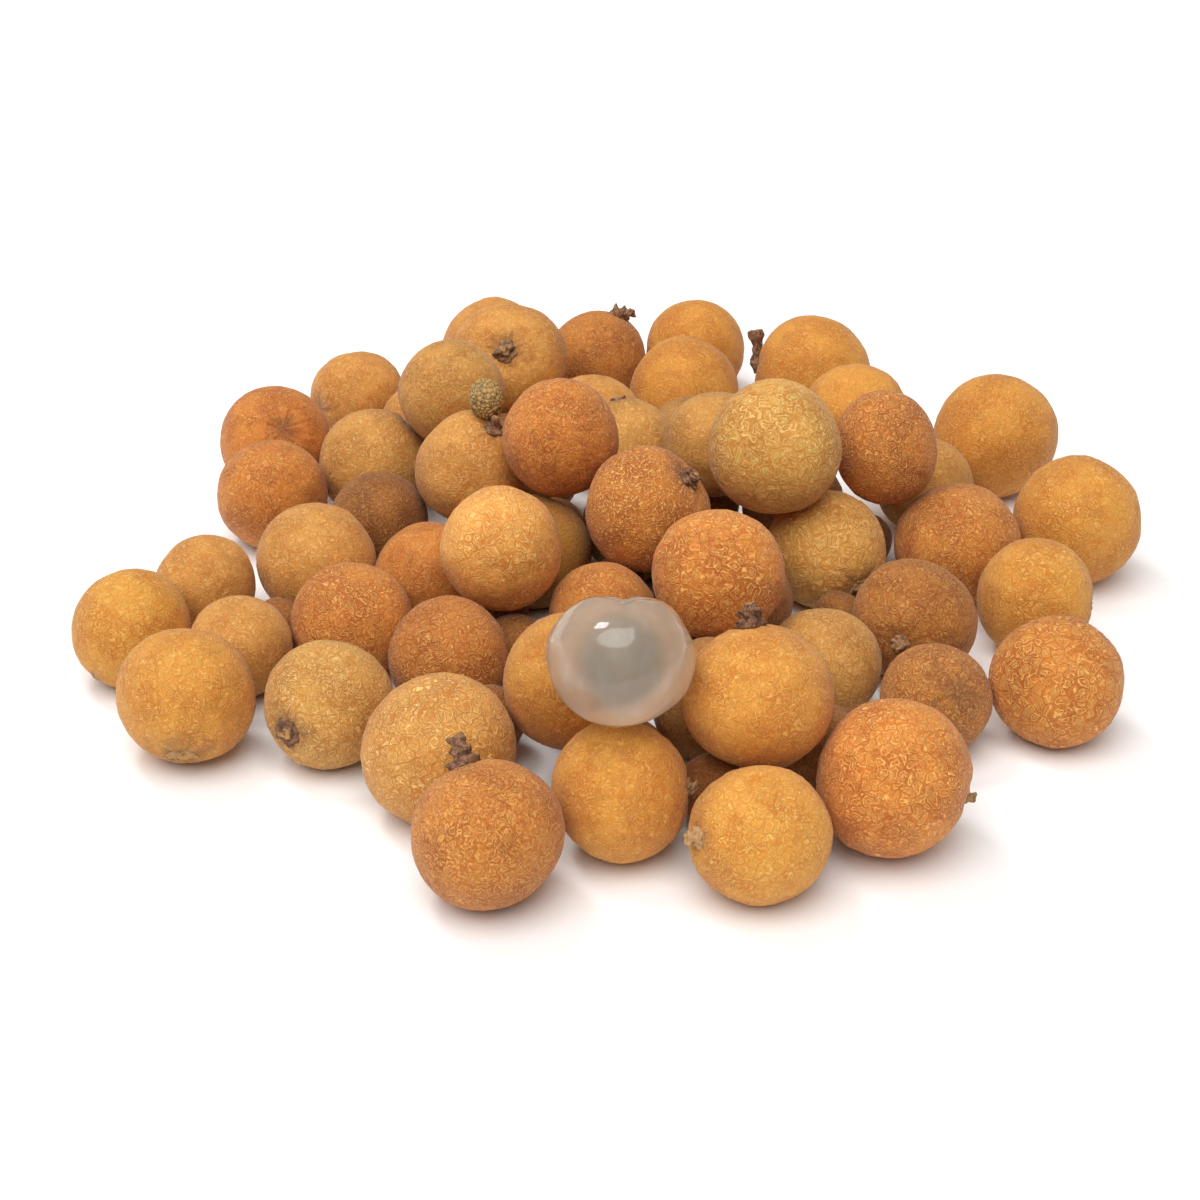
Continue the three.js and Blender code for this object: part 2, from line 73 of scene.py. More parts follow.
# The fruits: number, the way the stalk points, the stalk end (its kind, its size, and how
# pale its wood is), the fineness, the look of the peel (its tone, the strength of its pale
# ridges, how far they form large round cells), and its wear (grey specks of age, warmth of
# the colour, and short pale flecks). The tone is partly the fruit's own and partly painted
# light and shade: fruits 18 and 28 are lightened where they lie in shade, and 19 and the
# hidden 51 to 58 are darkened as painted shade.
FRUITS = [
    ("01", (-0.3, 0.55, 0.78), ("twig", 1.2, 0.0), NEAR, (0.98, 0.9, 0.1), (0.4, 0.1, 0.5)),
    ("02", (1, 0, 0.05), ("peg", 0.9, 0.3), NEAR, (1.0, 0.7, 0.0), (0.1, 0.0, 0.2)),
    ("03", (-0.9, -0.37, 0.21), ("peg", 1.0, 0.8), NEAR, (1.05, 0.9, 0.0), (0.0, -0.1, 0.3)),
    ("04", (0.95, -0.2, -0.15), ("peg", 0.8, 0.4), NEAR, (1.17, 1.0, 0.1), (0.1, 0.1, 0.2)),
    ("05", (0.2, 0.5, -0.84), BARE, NEAR, (1.0, 1.1, 0.2), (0.1, 0.0, 0.2)),
    ("06", (-0.58, -0.82, -0.01), ("ring", 1.1, 0.0), NEAR, (1.0, 0.9, 0.1), (0.2, -0.1, 0.4)),
    ("07", (0.03, -0.84, -0.54), ("flake", 1.0, 0.8), NEAR, (0.96, 0.8, 0.1), (0.1, 0.0, 0.2)),
    ("08", (-0.6, -0.45, -0.66), BARE, MIDDLE, (0.98, 0.7, 0.2), (0.1, -0.3, 0.2)),
    ("09", (0.1, 0.6, -0.8), BARE, MIDDLE, (0.95, 0.7, 0.1), (0.1, 0.0, 0.2)),
    ("10", (-0.1, 0.5, 0.86), ("stump", 1.0, 0.0), NEAR, (1.0, 0.8, 0.0), (0.1, 0.1, 0.3)),
    ("11", (0.3, -0.72, 0.62), PATCH, NEAR, (0.85, 0.9, 0.0), (1.0, 0.0, 0.6)),
    ("12", (0.2, 0.6, -0.78), BARE, NEAR, (1.05, 1.1, 0.5), (0.1, 0.0, 0.1)),
    ("13", (0.1, 0.7, -0.7), BARE, MIDDLE, (0.86, 1.1, 0.1), (0.1, 0.3, 0.2)),
    ("14", (-0.2, 0.6, -0.77), BARE, MIDDLE, (1.02, 0.9, 0.1), (0.1, 0.1, 0.3)),
    ("15", (-0.3, 0.6, -0.74), BARE, NEAR, (0.88, 0.8, 0.0), (0.1, 0.1, 0.2)),
    ("16", (0.3, 0.7, -0.65), BARE, MIDDLE, (0.93, 0.6, 0.2), (0.3, 0.0, 0.3)),
    ("17", (0.3, 0.8, -0.5), BARE, NEAR, (1.12, 1.0, 0.5), (0.2, 0.1, 0.1)),
    # Fruit 18's high tone is painted light that lifts it where it lies in shade.
    ("18", (0.53, -0.79, -0.31), ("ring", 0.95, 0.5), NEAR, (1.22, 0.8, 0.6), (0.1, -0.15, 0.3)),
    # Fruit 19's low tone is painted shade for a fruit deep in the heap.
    ("19", (-0.34, -0.93, 0.09), ("peg", 0.9, 0.2), MIDDLE, (0.76, 0.9, 0.1), (0.2, 0.0, 0.3)),
    ("20", (0.98, -0.1, -0.15), ("ring", 0.8, 0.3), MIDDLE, (0.96, 0.8, 0.2), (0.1, -0.1, 0.2)),
    ("21", (0.4, 0.85, 0.1), ("peg", 0.9, 0.3), MIDDLE, (0.95, 0.7, 0.1), (0.3, 0.0, 0.2)),
    ("22", (0.2, 0.4, -0.89), BARE, MIDDLE, (0.97, 0.8, 0.1), (0.2, 0.0, 0.3)),
    ("23", (0.3, 0.9, 0.2), ("twig", 0.9, 0.2), MIDDLE, (0.92, 0.6, 0.1), (0.3, 0.1, 0.3)),
    ("24", (0.1, -0.3, -0.95), BARE, MIDDLE, (0.9, 1.3, 0.0), (0.2, 0.4, 0.4)),
    ("25", (0.2, 0.7, -0.65), BARE, NEAR, (1.1, 0.8, 1.0), (0.1, -0.3, 0.2)),
    ("26", (0.7, -0.1, 0.7), ("knob", 0.95, 0.0), NEAR, (0.98, 0.5, 0.0), (0.4, 0.1, 1.0)),
    ("27", (0.1, 0.8, -0.55), BARE, NEAR, (1.0, 0.7, 0.0), (0.6, 0.35, 0.5)),
    # Fruit 28's high tone is painted light that lifts it where it lies in shade.
    ("28", (0.1, 0.35, -0.93), BARE, NEAR, (1.2, 0.8, 0.5), (0.1, 0.0, 0.2)),
    ("29", (0.4, -0.2, 0.89), ("fruitlet", 1.0, 0.1), MIDDLE, (0.95, 0.49, 0.2), (0.2, 0.0, 0.4)),
    ("30", (0.63, 0.35, 0.69), ("flake", 0.7, 0.7), MIDDLE, (0.95, 0.28, 0.1), (1.0, 0.1, 0.4)),
    ("31", (0.5, 0.7, -0.5), BARE, MIDDLE, (0.95, 0.49, 0.1), (0.2, 0.1, 0.2)),
    ("32", (-0.1, 0.6, -0.79), BARE, MIDDLE, (0.95, 0.63, 0.2), (0.1, 0.0, 0.2)),
    ("33", (-0.4, 0.7, -0.6), BARE, MIDDLE, (1.0, 0.56, 0.1), (0.2, 0.1, 0.2)),
    ("34", (0.24, -0.72, 0.65), DIMPLE, MIDDLE, (1.0, 0.42, 0.0), (0.3, 0.2, 0.2)),
    ("35", (-0.7, 0.5, -0.5), BARE, MIDDLE, (0.95, 0.49, 0.2), (0.1, 0.0, 0.2)),
    ("36", (0.3, 0.3, -0.9), BARE, HIDDEN, (0.95, 0.42, 0.1), (0.2, 0.0, 0.2)),
    ("37", (-0.8, -0.55, 0.0), DIMPLE, MIDDLE, (0.95, 0.42, 0.1), (0.3, 0.1, 0.2)),
    ("38", (0.1, 0.8, -0.6), BARE, MIDDLE, (0.93, 0.42, 0.3), (0.7, 0.0, 0.2)),
    ("39", (-0.3, 0.5, -0.8), BARE, MIDDLE, (0.95, 0.42, 0.1), (0.2, 0.0, 0.2)),
    ("40", (-0.06, -0.8, 0.6), ("knob", 1.0, 0.2), NEAR, (0.97, 0.42, 0.1), (0.2, 0.0, 0.2)),
    ("41", (-0.2, 0.95, 0.2), ("peg", 0.9, 0.3), MIDDLE, (0.95, 0.42, 0.1), (0.2, 0.1, 0.2)),
    ("42", (0.4, 0.27, 0.87), ("twig", 0.95, 0.1), MIDDLE, (0.85, 0.49, 0.1), (0.4, 0.1, 0.3)),
    ("43", (-0.2, 0.9, -0.3), BARE, MIDDLE, (0.92, 0.49, 0.1), (0.2, 0.1, 0.2)),
    ("44", (0.3, 0.6, -0.74), BARE, MIDDLE, (0.9, 0.49, 0.1), (0.4, 0.1, 0.3)),
    ("45", (-0.98, 0.1, 0.15), ("branch", 1.0, 0.0), MIDDLE, (0.95, 0.49, 0.1), (0.2, 0.0, 0.2)),
    ("46", (0.1, 0.8, -0.6), BARE, MIDDLE, (0.95, 0.49, 0.1), (0.3, 0.1, 0.2)),
    ("47", (-0.2, 0.5, 0.85), ("flake", 0.9, 0.4), MIDDLE, (1.0, 0.42, 0.2), (0.3, -0.1, 0.2)),
    ("48", (0.4, 0.6, -0.7), BARE, MIDDLE, (0.95, 0.49, 0.1), (0.4, 0.0, 0.2)),
    ("49", (0.3, 0.7, -0.6), BARE, MIDDLE, (0.95, 0.49, 0.1), (0.4, 0.0, 0.2)),
    ("50", (0.2, 0.7, -0.7), BARE, MIDDLE, (0.95, 0.7, 0.1), (0.2, 0.0, 0.2)),
    # The hidden fruits 51 to 58 have a low tone that is painted shade, to darken the gaps.
    ("51", (0.4, 0.2, -0.9), BARE, HIDDEN, (0.66, 0.7, 0.1), (0.2, 0.0, 0.2)),
    ("52", (-0.3, 0.3, -0.9), BARE, HIDDEN, (0.66, 0.7, 0.1), (0.2, 0.0, 0.2)),
    ("53", (0.2, 0.5, -0.85), BARE, HIDDEN, (0.66, 0.7, 0.1), (0.2, 0.0, 0.2)),
    ("54", (-0.4, 0.4, -0.8), BARE, HIDDEN, (0.66, 0.7, 0.1), (0.2, 0.0, 0.2)),
    ("55", (0.5, 0.1, -0.85), BARE, HIDDEN, (0.66, 0.7, 0.1), (0.2, 0.0, 0.2)),
    ("56", (0.1, -0.3, -0.95), BARE, HIDDEN, (0.66, 0.7, 0.1), (0.2, 0.0, 0.2)),
    ("57", (-0.1, -0.4, -0.9), BARE, HIDDEN, (0.66, 0.7, 0.1), (0.2, 0.0, 0.2)),
    ("58", (0.3, -0.2, -0.93), BARE, HIDDEN, (0.66, 0.7, 0.1), (0.2, 0.0, 0.2)),
]

# Stalks that don't stand straight up from the peel: the way that they point.
STALK_WAYS = {"42": (0.95, 0.05, 0.3), "45": (-0.12, 0.42, 0.9)}

# The part of a packed fruit left out of the fit of its peel: what lies nearer to the stalk
# than this angle, what lies in the flat foot, and what stands out past this share of the
# middle radius.
STALK_CAP = 0.4
FOOT = 0.0001
PROUD = 1.12

# The dent round the stalk, by stalk end: its depth, its angle from the stalk, and the height
# of the creases that run away from it.
DENTS = {
    "twig": (0.0004, 0.2, 0.00004),
    "stump": (0.0005, 0.26, 0.00004),
    "peg": (0.0007, 0.24, 0.00005),
    "ring": (0.0009, 0.26, 0.00006),
    "knob": (0.0020, 0.42, 0.00006),
    "flake": (0.0005, 0.24, 0.00005),
    "branch": (0.0005, 0.2, 0.00004),
    "fruitlet": (0.0006, 0.24, 0.00005),
    "scar": (0.0005, 0.16, 0.00006),
    "dimple": (0.0011, 0.36, 0.00009),
    "patch": (0.0007, 0.3, 0.00005),
}

# The creases: how many go round the stalk and their share of the height, the angle from the
# stalk at which they are highest, and how far they fade to either side.
CREASES = [(5, 1.0), (9, 0.8), (14, 0.6), (21, 0.4)]
CREASE_ANGLE = 0.34
CREASE_WIDTH = 0.2

# The small plain scar where no stalk is left.
SCAR_HEIGHT = 0.0006
SCAR_ANGLE = 0.075

# The stain round the stalk, by stalk end: its reach in millimetres, and its strength.
STAINS = {
    "dimple": (2.8, 0.7),
    "patch": (4.8, 0.62),
    "knob": (3.4, 0.8),
    "ring": (3.8, 0.65),
    "flake": (4.4, 0.8),
}
PLAIN_STAIN = (2.6, 0.7)

# The ragged edge of the stain: the wavelength and the share of its unevenness, and the least
# that it leaves. Then the streaks that the creases make: their mean and their depth.
RAGGED_WAVE = 0.004
RAGGED_SHARE = 0.35
RAGGED_LEAST = 0.5
STREAK_MEAN = 0.8
STREAK_DEPTH = 0.15

# Swells of the peel: wavelength and height of each size, and how many waves make up each.
SWELLS = [(0.011, 0.00007), (0.0045, 0.00003), (0.0021, 0.000025)]
SWELL_WAVES = 14

# How many times as close as its wavelength says a wave may be, at least and at most.
WAVE_SPREAD = (0.7, 1.4)

# The net of raised lines: the width of a cell, and the width and height of a line.
NET_CELL = 0.0019
NET_LINE = 0.0003
NET_HEIGHT = 0.00006

# How much coarser the pattern is on a peel of large round cells, and how far from the middle
# of the pattern a peel may start, in millimetres.
COARSER = 0.5
PATTERN_SPREAD = 50

# Stalk ends: radius and height pairs up from the skin, in millimetres, first inside the
# fruit, then the collar, the neck and the broken tip.
STALK_PROFILES = {
    "twig": [
        (0, -1.8), (1.4, -1.8), (1.9, -0.5), (2.4, 0.1), (2.3, 0.7), (1.5, 1.2), (1.3, 1.6),
        (1.7, 2.1), (1.7, 2.6), (1.1, 3.0), (1.1, 3.4), (1.35, 3.9), (1.1, 4.5), (0, 4.7),
    ],
    "stump": [
        (0, -1.8), (2.0, -1.8), (2.8, -0.5), (3.4, 0.1), (3.3, 0.8), (2.3, 1.2), (2.1, 1.7),
        (2.6, 2.3), (2.5, 2.9), (1.5, 3.4), (1.4, 3.8), (0.9, 4.2), (0, 4.1),
    ],
    "peg": [
        (0, -1.6), (1.2, -1.6), (1.6, -0.4), (1.9, 0.1), (1.7, 0.5), (1.15, 0.8), (1.0, 1.3),
        (1.15, 1.8), (1.1, 2.2), (0.7, 2.4), (0, 2.1),
    ],
    "ring": [
        (0, -1.4), (1.5, -1.4), (2.1, -0.3), (2.4, 0.25), (2.15, 0.6), (1.65, 0.5), (1.35, 0.3),
        (1.25, 0.7), (1.1, 1.05), (0.6, 1.1), (0, 0.95),
    ],
    "knob": [
        (0, -1.6), (1.8, -1.6), (2.4, -0.5), (2.65, 0.2), (2.3, 0.7), (1.7, 0.75), (1.5, 1.1),
        (1.65, 1.6), (1.5, 2.2), (0.9, 2.6), (0, 2.5),
    ],
    "flake": [
        (0, -1.2), (1.8, -1.2), (2.3, -0.3), (2.5, 0.15), (2.2, 0.45), (1.2, 0.5), (0.6, 0.7),
        (0, 0.6),
    ],
    "branch": [
        (0, -1.8), (1.2, -1.8), (1.5, -0.3), (1.7, 0.4), (1.2, 1.2), (1.0, 2.6), (1.05, 4.4),
        (1.2, 5.6), (1.7, 6.6), (1.8, 7.4), (1.3, 8.1), (0.6, 8.3), (0, 8.0),
    ],
    "fruitlet": [
        (0, -1.6), (1.6, -1.6), (2.1, -0.3), (2.2, 0.2), (1.6, 0.6), (0.9, 0.8), (0.75, 1.2),
        (0.8, 2.0), (0.9, 2.6), (0, 3.0),
    ],
}
STALK_ROWS = 44
STALK_COLUMNS = 40

# Stalk ends that aren't round: how much wider they are along each axis.
STALK_SQUASH = {"flake": (1.2, 0.75), "stump": (1.15, 0.8)}

# The knobs and then the bark of a stalk end: wavelength in millimetres, number of waves, the
# share by which they widen it, and by how many millimetres they lift it. They start this far
# below the skin.
STALK_BUMPS = [(2.2, 12, 0.15, 0.14), (0.9, 16, 0.06, 0.06)]
BUMPS_START = 0.5

# The most that a stalk end of the given height leans, in millimetres. Others lean in step.
LEAN = 0.7
LEAN_HEIGHT = 5.0

# How far up its profile a stalk end turns into its pale broken tip.
TIP_STARTS = {"ring": 0.78, "flake": 0.6}
PLAIN_TIP_START = 0.88
TIP_BLEND = 0.06

# The undeveloped fruitlet: its size, its neck, the way it points, and its pimples, with the
# width of a pimple, the width of the line between two, and its depth as a share.
FRUITLET_ACROSS = 0.0074
FRUITLET_TALL = 0.0086
FRUITLET_NECK = 0.0019
FRUITLET_WAY = (-0.2, 0.5, 0.84)
PIMPLE_CELL = 0.00085
PIMPLE_LINE = 0.00016
PIMPLE_HEIGHT = 0.06

# The peeled fruit: the way its notch points, the notch's depth and angle, the groove that
# runs through it, the angle of the mouth in it, and a small blister.
NOTCH_WAY = (0.04, 0.42, 0.91)
NOTCH_DEPTH = 0.0034
NOTCH_ANGLE = 0.3
GROOVE_DEPTH = 0.0014
GROOVE_WIDTH = 0.12
GROOVE_LENGTH = 0.62
MOUTH_ANGLE = 0.1
BLISTER_WAY = (0.58, -0.81, 0.01)
BLISTER_HEIGHT = 0.0002
BLISTER_ANGLE = 0.09

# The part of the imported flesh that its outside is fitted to: what lies further from the
# seed's middle than this many seed radii, and from the notch than this many notch angles.
OUTSIDE_FROM_SEED = 1.4
OUTSIDE_FROM_NOTCH = 2.4

# Swells of the flesh: wavelength, height and number of waves, and where their draw starts.
FLESH_SWELL_WAVE = 0.009
FLESH_SWELL_HEIGHT = 0.00012
FLESH_SWELL_WAVES = 12
FLESH_DRAW = 77

# The nest of the seed: its radius as a share of the seed's, and the angle of its mouth.
NEST_SHARE = 0.995
NEST_MOUTH_ANGLE = 0.16

# How many faint furrows the flesh has in a metre along each axis: few run across its height.
FURROWS = (520.0, 520.0, 130.0)

# Undersized fruits in the hollows between the others: their clear space, the step of the
# search for places, how far off the neighbours of a place may be, how many it has at least,
# the widest angle between two of them, and the least and greatest radius.
HOLLOW_GAP = 0.0004
HOLLOW_STEP = 0.001
HOLLOW_REACH = 0.034
HOLLOW_NEIGHBOURS = 4
HOLLOW_OPENING = 1.5
HOLLOW_SMALLEST = 0.0056
HOLLOW_LARGEST = 0.0115

# The lumps of the undersized fruits, with wavelength and depth, where their draw starts, and
# the look and wear of their peel. The low tone in their look is painted shade that darkens
# the hollows.
HOLLOW_LUMP_WAVE = 0.012
HOLLOW_LUMP_DEPTH = 0.0002
HOLLOW_DRAW = 5
# A tone of 0.55 darkens these fruits as painted shade.
HOLLOW_LOOK = (0.55, 0.8, 0.0)
HOLLOW_WEAR = (0.4, 0.0, 0.3)

# The floor: half its width, and how far it lies below the fruits.
FLOOR_HALF = 4.0
FLOOR_DROP = 0.00002

# The camera: its place, its turn up from straight down in degrees, and its lens and frame in
# millimetres.
CAMERA_PLACE = (-0.005, -0.4503, 0.261)
CAMERA_TURN = 60
CAMERA_LENS = 75
CAMERA_FRAME = 36

# The lights: their places, and how widely each spreads, in degrees and in metres.
OVERHEAD_PLACE = (-0.13, -0.4, 0.92)
OVERHEAD_SPREAD = 60
WINDOW_PLACE = (-0.34, 0.22, 0.8)
WINDOW_WIDTH = 0.22


def unit(vectors):
    """Vectors, each divided by its own length."""
    vectors = np.asarray(vectors, float)
    return vectors / np.linalg.norm(vectors, axis=-1, keepdims=True)


def axes_along(direction):
    """A turned frame, one axis a row, whose third axis is the direction. Its first axis is
    square to that and to a helper, which is never nearly the same as the direction."""
    third = unit(direction)
    helper = (0, 0, 1) if abs(third[2]) < 0.8 else (1, 0, 0)
    first = unit(np.cross(helper, third))
    return np.array([first, np.cross(third, first), third])


def ball_directions(angle, turn):
    """Unit vectors at an angle from the third axis and a turn round it."""
    ring = np.sin(angle)
    return np.column_stack([ring * np.cos(turn), ring * np.sin(turn), np.cos(angle)])


def ball_angles(rows, columns):
    """The angle from the pole and the turn round it at each point of a round grid: the first
    pole, then rows of points from pole to pole, then the last pole."""
    angle, turn = np.meshgrid(
        np.linspace(0, math.pi, rows + 1)[1:-1],
        np.linspace(0, math.tau, columns, endpoint=False),
        indexing="ij",
    )
    angle = np.concatenate([[0], angle.ravel(), [math.pi]])
    turn = np.concatenate([[0], turn.ravel(), [0]])
    return angle, turn


def ball_faces(rings, columns):
    """The faces of a surface of rings of points between two pole points: a fan of triangles
    at each pole, and squares between neighbouring rings. Both are turned outwards where the
    rings run from the first pole to the last and round to the left."""
    column = np.arange(columns)
    after = (column + 1) % columns
    last = 1 + rings * columns
    final = 1 + (rings - 1) * columns
    top = np.stack([np.zeros_like(column), 1 + column, 1 + after], 1)
    bottom = np.stack([np.full_like(column, last), final + after, final + column], 1)
    start = 1 + np.arange(rings - 1)[:, None] * columns
    squares = np.stack(
        [start + column, start + columns + column, start + columns + after, start + after], -1
    )
    return np.concatenate([top, bottom]), squares.reshape(-1, 4)


def turned_over(faces):
    """Triangles and squares that face the other way, for rings that run from the bottom up."""
    return [corners[:, ::-1] for corners in faces]


def make_piece(name, points, triangles, squares, material, attributes=()):
    """A smooth mesh object at the origin from arrays of points, triangles and squares."""
    mesh = bpy.data.meshes.new(name)
    corners = np.concatenate([triangles.ravel(), squares.ravel()]).astype(np.int32)
    sides = np.concatenate([np.full(len(triangles), 3), np.full(len(squares), 4)])
    starts = np.concatenate([[0], np.cumsum(sides)[:-1]]).astype(np.int32)
    mesh.vertices.add(len(points))
    mesh.loops.add(len(corners))
    mesh.polygons.add(len(sides))
    mesh.vertices.foreach_set("co", points.astype(np.float32).ravel())
    mesh.loops.foreach_set("vertex_index", corners)
    mesh.polygons.foreach_set("loop_start", starts)
    mesh.update(calc_edges=True)
    mesh.validate()
    mesh.shade_smooth()
    for label, kind, values in attributes:
        layer = mesh.attributes.new(label, kind, "POINT")
        field = "vector" if kind == "FLOAT_VECTOR" else "value"
        layer.data.foreach_set(field, values.astype(np.float32).ravel())
    mesh.materials.append(material)
    piece = bpy.data.objects.new(name, mesh)
    bpy.context.scene.collection.objects.link(piece)
    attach(piece, "root")
    return piece


def waves(points, length, count, draw):
    """Sum of cosine waves that run in random directions through the points, each about the
    given length from crest to crest, divided so that the sum is about 1 high."""
    heads = unit(draw.normal(size=(count, 3))) * math.tau / length
    heads *= draw.uniform(*WAVE_SPREAD, (count, 1))
    phases = draw.uniform(0, math.tau, count)
    return np.cos(points @ heads.T + phases).sum(1) / math.sqrt(count / 2)


def net_lines(directions, radius, cell, width, draw):
    """Height of a net of raised lines: cells grow round points scattered evenly over the
    ball, and a line is where the nearest two points are nearly as far as each other."""
    count = int(4 * math.pi * radius**2 / cell**2)
    seeds = unit(draw.normal(size=(count, 3))).astype(np.float32)
    nearness = directions.astype(np.float32) @ seeds.T
    nearest = np.arccos(np.clip(np.partition(nearness, -2, axis=1)[:, -2:], -1, 1))
    edge = (nearest[:, 0] - nearest[:, 1]) * radius
    return np.exp(-((edge / width) ** 2))


def packed_points(node):
    """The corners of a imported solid, each once."""
    vertices = frame["nodes"][node].data.vertices
    points = np.empty(len(vertices) * 3, np.float32)
    vertices.foreach_get("co", points)
    return np.unique(np.round(points.reshape(-1, 3).astype(float), 7), axis=0)


def ball_centre(points):
    """Centre of the ball that fits the points best, by least squares on
    |p|^2 = 2 p.c + constant."""
    table = np.column_stack([2 * points, np.ones(len(points))])
    return np.linalg.lstsq(table, (points**2).sum(1), rcond=None)[0][:3]


def low_powers(directions):
    """All products of the three parts of a direction with up to three factors."""
    x, y, z = directions.T
    return np.column_stack([
        x**a * y**b * z**c
        for a in range(4)
        for b in range(4 - a)
        for c in range(4 - a - b)
    ])


def surface_fit(points):
    """Centre of the ball nearest to the points, and the factors that give their distance from
    it in any direction as a sum of low powers of that direction, by least squares."""
    centre = ball_centre(points)
    radius = np.linalg.norm(points - centre, axis=1)
    factors = np.linalg.lstsq(low_powers(unit(points - centre)), radius, rcond=None)[0]
    return centre, factors


def peel_fit(node, stalk):
    """The fit of a packed fruit without its stalk end, what stands on it and its flat foot."""
    points = packed_points(node)
    body = points[points[:, 2] > FOOT]
    centre = ball_centre(body)
    body = body[unit(body - centre) @ stalk < math.cos(STALK_CAP)]
    distance = np.linalg.norm(body - ball_centre(body), axis=1)
    return surface_fit(body[distance < PROUD * np.median(distance)])


class Value:
    """One output of a shader node. Arithmetic on it adds Math nodes."""

    def __init__(self, finish, socket):
        self.finish = finish
        self.socket = socket

    def maths(self, operation, *terms):
        sockets = dict(enumerate(terms))
        return self.finish.node("ShaderNodeMath", {"operation": operation}, sockets)

    def __add__(self, other):
        return self.maths("ADD", self, other)

    def __sub__(self, other):
        return self.maths("SUBTRACT", self, other)

    def __rsub__(self, other):
        return self.maths("SUBTRACT", other, self)

    def __mul__(self, other):
        return self.maths("MULTIPLY", self, other)

    __radd__ = __add__
    __rmul__ = __mul__

    def __abs__(self):
        return self.maths("ABSOLUTE", self)

    def larger(self, other):
        return self.maths("MAXIMUM", self, other)


class Finish:
    """A material in the making, with one method that adds a node."""

    def __init__(self, name):
        self.material = bpy.data.materials.new(name)
        self.material.use_nodes = True
        self.material.node_tree.nodes.clear()

    def node(self, kind, settings=None, sockets=None, out=0):
        """Adds a node, sets its settings, then fills its sockets with values or links, and
        returns the output that out names."""
        made = self.material.node_tree.nodes.new(kind)
        for name, value in (settings or {}).items():
            setattr(made, name, value)
        for name, value in (sockets or {}).items():
            if isinstance(value, Value):
                self.material.node_tree.links.new(value.socket, made.inputs[name])
            else:
                made.inputs[name].default_value = value
        return Value(self, made.outputs[out]) if made.outputs else made

    def parts(self, vector):
        """The three numbers of a vector."""
        first = self.node("ShaderNodeSeparateXYZ", {}, {0: vector})
        return [Value(self, output) for output in first.socket.node.outputs]

    def mix(self, share, first, second, blend="MIX"):
        """A blend of two colours."""
        settings = {"data_type": "RGBA", "blend_type": blend, "clamp_factor": True}
        return self.node("ShaderNodeMix", settings, {0: share, 6: first, 7: second}, 2)

    def step(self, value, low, high):
        """Rises smoothly from 0 where the value is low to 1 where it is high."""
        sockets = {"Value": value, "From Min": low, "From Max": high}
        return self.node("ShaderNodeMapRange", {"interpolation_type": "SMOOTHSTEP"}, sockets)

    def ridge(self, value, middle, core, width):
        """A line where a value crosses a middle: 1 within the core, fading to 0 at the
        width."""
        return 1 - self.step(abs(value - middle), core, width)

    def attribute(self, name, out="Fac"):
        return self.node("ShaderNodeAttribute", {"attribute_name": name}, out=out)

    def noise(self, place, scale, detail=2.0, roughness=0.5, out="Fac"):
        sockets = {"Vector": place, "Scale": scale, "Detail": detail, "Roughness": roughness}
        return self.node("ShaderNodeTexNoise", {}, sockets, out)

    def cells(self, place, scale, feature="DISTANCE_TO_EDGE", out="Distance"):
        sockets = {"Vector": place, "Scale": scale}
        return self.node("ShaderNodeTexVoronoi", {"feature": feature}, sockets, out)

    def moved(self, place, by, amount):
        """A place shifted by a noise colour, centred, times an amount."""
        centred = self.node(
            "ShaderNodeVectorMath", {"operation": "SUBTRACT"}, {0: by, 1: (0.5, 0.5, 0.5)}
        )
        sockets = {0: centred, 1: (amount, amount, amount), 2: place}
        return self.node("ShaderNodeVectorMath", {"operation": "MULTIPLY_ADD"}, sockets)

    def surface(self, **sockets):
        """Ends the material in a Principled shader with these sockets."""
        named = {name.replace("_", " "): value for name, value in sockets.items()}
        shader = self.node("ShaderNodeBsdfPrincipled", {}, named)
        self.node("ShaderNodeOutputMaterial", {}, {"Surface": shader})
        return self.material


# Peel colours: the ground, the deep mottling, and the pale ridges.
PEELS = {
    "peel_honey": ((0.68, 0.28, 0.036, 1), (0.49, 0.15, 0.015, 1), (0.90, 0.54, 0.14, 1)),
    "peel_tan": ((0.64, 0.275, 0.050, 1), (0.44, 0.15, 0.020, 1), (0.90, 0.57, 0.20, 1)),
    "peel_russet": ((0.55, 0.18, 0.024, 1), (0.33, 0.082, 0.010, 1), (0.86, 0.46, 0.12, 1)),
    "peel_olive": ((0.59, 0.26, 0.048, 1), (0.39, 0.145, 0.021, 1), (0.87, 0.57, 0.20, 1)),
}
SPECK = (0.12, 0.075, 0.060, 1)
STAIN = (0.085, 0.038, 0.024, 1)
YELLOW = (0.92, 1.05, 0.95, 1)
ORANGE = (1.08, 0.90, 0.80, 1)
MOSS = (0.50, 0.33, 0.075, 1)


